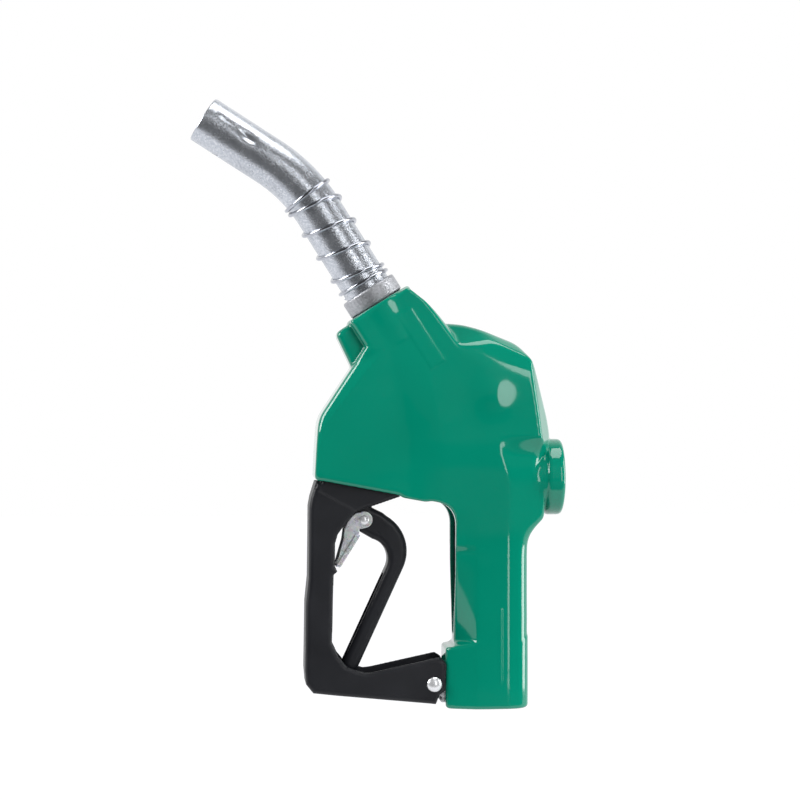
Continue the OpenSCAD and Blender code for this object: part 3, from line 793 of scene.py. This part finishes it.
def turned_metal(name, light, rough, metallic=1.0):
    n = Nodes(name)
    fine = n.noise(600, 3.0)
    colour = n.mix(n.ramp(fine, (0.35, 0.0), (0.65, 1.0)), tuple(0.86 * c for c in light), light)
    roughness = n.ramp(n.noise(150, 4.0), (0.3, rough), (0.7, rough + 0.14))
    return n.finish(colour, roughness, n.bump(fine, 0.12, 0.0001), Metallic=metallic)


def zinc_plate():
    n = Nodes("zinc_plate")
    spangle = n.voronoi(520, "Color")
    tone = n.mix(0.5, n.ramp(n.noise(300, 4.0, 0.7), (0.3, 0.42), (0.7, 0.85)), spangle, "SOFT_LIGHT")
    colour = n.mix(0.45, tone, (0.66, 0.70, 0.76))
    roughness = n.ramp(n.noise(220, 3.0), (0.3, 0.22), (0.7, 0.42))
    return n.finish(colour, roughness, n.bump(n.noise(500, 3.0), 0.3, 0.00015), Metallic=0.68)


def black_plastic(name, rough):
    n = Nodes(name)
    fine = n.noise(900, 3.0, 0.6)
    blotch = n.noise(35, 3.0)
    body = n.mix(n.ramp(blotch, (0.3, 0.0), (0.7, 1.0)), (0.0065, 0.0070, 0.0090), (0.0095, 0.0102, 0.0128))
    # painted highlight: convex edges get a lighter colour than the body
    colour = n.mix(n.edges(0.54, 0.62), body, (0.022, 0.023, 0.027))
    roughness = n.ramp(blotch, (0.3, rough), (0.7, rough + 0.10))
    grain = n.bump(fine, 0.16, 0.00012)
    wavy = n.bump(n.noise(70, 1.0), 0.12, 0.0006, grain)
    return n.finish(colour, roughness, wavy, IOR=1.5, Specular_IOR_Level=0.34)


def dull(name, colour_low, colour_high, rough):
    n = Nodes(name)
    colour = n.mix(n.noise(80, 4.0), colour_low, colour_high)
    roughness = n.ramp(n.noise(200, 3.0), (0.3, rough), (0.7, rough + 0.1))
    return n.finish(colour, roughness, n.bump(n.noise(700, 3.0), 0.2, 0.0001))


MATERIALS = {
    "casting": cast_metal("casting", (0.60, 0.61, 0.63), 0.38, 0.55),
    "green_vinyl": green_vinyl(),
    "spout_metal": spout_metal(),
    "bushing_metal": cast_metal("bushing_metal", (0.50, 0.51, 0.54), 0.38, 0.58),
    "nitrile": dull("nitrile", (0.012, 0.012, 0.012), (0.03, 0.03, 0.03), 0.55),
    "dark_steel": turned_metal("dark_steel", (0.16, 0.16, 0.17), 0.35),
    "spring_wire": turned_metal("spring_wire", (0.50, 0.52, 0.57), 0.12),
    "brass": turned_metal("brass", (0.78, 0.58, 0.27), 0.2),
    "bright_steel": turned_metal("bright_steel", (0.66, 0.67, 0.69), 0.18),
    "ptfe": dull("ptfe", (0.80, 0.80, 0.77), (0.88, 0.88, 0.85), 0.5),
    "black_lever": black_plastic("black_lever", 0.36),
    "black_guard": black_plastic("black_guard", 0.40),
    "zinc_plate": zinc_plate(),
    "rivet_steel": turned_metal("rivet_steel", (0.80, 0.81, 0.83), 0.20, 0.62),
}

for entry in frame["record"]["subparts"]:
    mesh = NODES[entry["node"]].data
    mesh.materials.clear()
    mesh.materials.append(MATERIALS[entry["material_slot"]])


def dress(obj, slot, body, node):
    """Gives a piece its material and its body, and hides the CAD node that it stands for."""
    obj.data.materials.append(MATERIALS[slot])
    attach(obj, body)
    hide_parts(node)


# ---------------------------------------------------------------- pieces

QUICK = 1.0

# piece, field, low corner, high corner, voxel, material slot, body, the CAD node that it stands for
guard_top = float(corners("guard_rivet")[1][1])
guard_head = min(guard_top - float(GUARD_HIGH[1]), 2.4)
clip_low, clip_high = corners("clip_rivet")
MOULDED = [
    ("insulator_cover", cover_field, COVER_LOW - 2, COVER_HIGH + 2, 0.95,
     "green_vinyl", "nozzle_body", "hand_insulator"),
    ("casting", casting_field, *corners("body_casting"), 1.1, "casting", "nozzle_body", "body_casting"),
    ("spout", spout_field, SPOUT_LOW - 1, SPOUT_HIGH + 1, 0.7, "spout_metal", "nozzle_body", "spout_tube"),
    ("bushing", bushing_field, *corners("spout_bushing"), 0.6,
     "bushing_metal", "nozzle_body", "spout_bushing"),
    ("lever_grip", lever_field, LEVER_LOW, LEVER_HIGH, 0.7, "black_lever", "lever", "lever"),
    ("guard_channel", guard_field, GUARD_LOW, GUARD_HIGH, 0.7, "black_guard", "nozzle_body", "lever_guard"),
    ("clip_stamping", clip_field, *corners("hold_open_clip"), 0.32,
     "zinc_plate", "hold_open_clip", "hold_open_clip"),
    ("guard_rivet_domed", rivet_field(RIVET_X, RIVET_Z, 3.0, 4.85, guard_head, guard_top),
     *corners("guard_rivet"), 0.4, "rivet_steel", "nozzle_body", "guard_rivet"),
    ("clip_rivet_domed", clip_rivet_field(float(clip_low[1]), float(clip_high[1])),
     clip_low - 0.6, clip_high + 0.6, 0.3, "rivet_steel", "lever", "clip_rivet"),
]
for piece, field, low, high, voxel, slot, body, stands_for in MOULDED:
    dress(field_mesh(piece, field, low, high, voxel * QUICK), slot, body, stands_for)
dress(tube_mesh("anchor_coil", anchor_points(), ANCHOR_WIRE), "spring_wire", "nozzle_body", "anchor_spring")

# ---------------------------------------------------------------- stage, light and camera

CENTRE = Vector([(CAD_LOW[i] + CAD_HIGH[i]) / 2 for i in range(3)])


def backdrop_white(n, coordinate, dark_from, white_from):
    """1 where a coordinate is past white_from, 0 where it is before dark_from."""
    m = n.node("ShaderNodeMapRange", From_Min=dark_from, From_Max=white_from)
    n.link(coordinate, m.inputs["Value"])
    return m.outputs["Result"]


def floor():
    """White floor well below the object; its front edge is dark to everything but the camera."""
    bpy.ops.mesh.primitive_plane_add(size=16, location=(CENTRE.x, CENTRE.y, CAD_LOW[2] - 0.30))
    plane = bpy.context.object
    plane.name = "studio_floor"
    n = Nodes("studio_floor")
    spot = n.tree.nodes.new("ShaderNodeSeparateXYZ")
    n.link(n.place, spot.inputs["Vector"])
    path = n.tree.nodes.new("ShaderNodeLightPath")
    glow = n.tree.nodes.new("ShaderNodeMath")
    glow.operation = "MAXIMUM"
    n.link(backdrop_white(n, spot.outputs["Y"], -0.62, -0.50), glow.inputs[0])
    n.link(path.outputs["Is Camera Ray"], glow.inputs[1])
    n.link(glow.outputs["Value"], n.bsdf.inputs["Emission Strength"])
    grey = n.ramp(n.noise(3.0, 2.0), (0.3, 0.025), (0.7, 0.032))
    plane.data.materials.append(n.finish(grey, 0.9, None, Emission_Color=(0.98, 0.98, 1.0, 1)))


def softbox(name, place, size, power, target=CENTRE, size_y=None):
    data = bpy.data.lights.new(name, "AREA")
    data.shape = "RECTANGLE"
    data.size = size
    data.size_y = size_y or size
    data.energy = power
    lamp = bpy.data.objects.new(name, data)
    lamp.location = place
    lamp.rotation_euler = (Vector(target) - Vector(place)).to_track_quat("-Z", "Y").to_euler()
    bpy.context.scene.collection.objects.link(lamp)
    return lamp


def world():
    """White behind and dark in front, as with a white backdrop; the camera sees white all round."""
    w = bpy.data.worlds.new("studio")
    bpy.context.scene.world = w
    w.use_nodes = True
    tree = w.node_tree
    tree.nodes.clear()
    coords = tree.nodes.new("ShaderNodeTexCoord")
    split = tree.nodes.new("ShaderNodeSeparateXYZ")
    back = tree.nodes.new("ShaderNodeMapRange")
    path = tree.nodes.new("ShaderNodeLightPath")
    most = tree.nodes.new("ShaderNodeMath")
    most.operation = "MAXIMUM"
    sky = tree.nodes.new("ShaderNodeBackground")
    out = tree.nodes.new("ShaderNodeOutputWorld")
    sky.inputs["Color"].default_value = (1, 1, 1, 1)
    for key, value in (("From Min", 0.15), ("From Max", 0.62), ("To Min", 0.07), ("To Max", 1.0)):
        back.inputs[key].default_value = value
    tree.links.new(coords.outputs["Generated"], split.inputs["Vector"])
    tree.links.new(split.outputs["Y"], back.inputs["Value"])
    tree.links.new(back.outputs["Result"], most.inputs[0])
    tree.links.new(path.outputs["Is Camera Ray"], most.inputs[1])
    tree.links.new(most.outputs["Value"], sky.inputs["Strength"])
    tree.links.new(sky.outputs[0], out.inputs["Surface"])


def camera():
    """Level view of the near side, turned a little towards the spout."""
    azimuth = math.radians(-4.5)
    distance = 1.4
    target = Vector((-0.0556, 0.0, 0.1934))
    data = bpy.data.cameras.new("camera")
    data.sensor_width = 36
    data.lens = 36 * distance / (800 * 0.632 * MM)
    cam = bpy.data.objects.new("camera", data)
    cam.location = target + distance * Vector((math.sin(azimuth), -math.cos(azimuth), 0))
    cam.rotation_euler = (math.pi / 2, 0, azimuth)
    bpy.context.scene.collection.objects.link(cam)
    bpy.context.scene.camera = cam


floor()
world()
camera()
softbox("left", (-1.8, -0.25, 0.95), 0.9, 34, size_y=1.1)
softbox("right", (1.8, -0.25, 0.50), 0.8, 32, size_y=1.5)
softbox("above", (0.30, -0.30, 1.75), 1.2, 13, size_y=0.7)
softbox("key", (0.62, -1.85, 0.50), 0.30, 6.2, size_y=1.5)
fill = softbox("fill", (0.55, -2.15, 0.85), 1.3, 44)
fill.visible_glossy = False
bpy.context.scene.view_settings.view_transform = "Standard"
